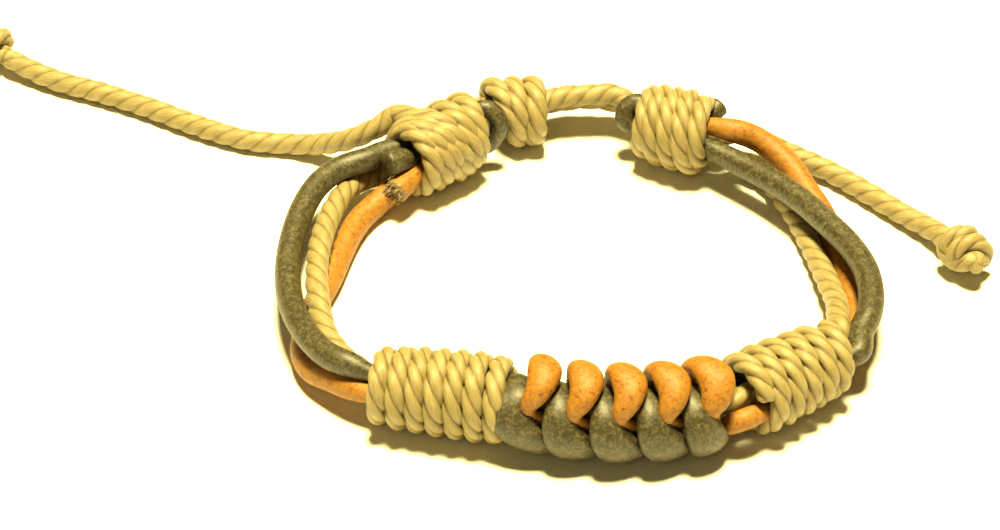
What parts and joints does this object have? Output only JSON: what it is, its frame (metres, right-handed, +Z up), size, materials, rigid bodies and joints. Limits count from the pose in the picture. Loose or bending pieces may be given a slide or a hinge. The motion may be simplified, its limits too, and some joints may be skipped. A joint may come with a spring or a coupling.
{
  "type": "leather cord bracelet",
  "caption": "Adjustable wrist bracelet of olive and orange leather cords knotted over a twisted waxed cord, with whipped wraps and two knotted tails.",
  "frame": {"origin": "middle of the wrist ring's outline, on the surface that the bracelet lies on", "axes": "+X to the right along the knotted front, +Y from the knotted front to the sliding closure at the rear, +Z up"},
  "size_m": [0.1068, 0.067, 0.0094],
  "materials": {
    "olive_leather": "waxed round leather cord, mottled grey olive, satin",
    "orange_leather": "waxed round leather cord, amber orange with fine dark cracks, satin",
    "twisted_cord": "three-ply waxed twisted cord, golden beige"
  },
  "bodies": {
    "root": {"olive_cord": "olive_leather", "orange_cord": "orange_leather", "core_cord": "twisted_cord", "front_left_wrap": "twisted_cord", "front_right_wrap": "twisted_cord", "rear_left_wrap": "twisted_cord", "small_rear_wrap": "twisted_cord", "rear_right_wrap": "twisted_cord", "tail_left": "twisted_cord", "tail_right": "twisted_cord", "tail_knot_left": "twisted_cord", "tail_knot_right": "twisted_cord"}
  },
  "joints": []
}
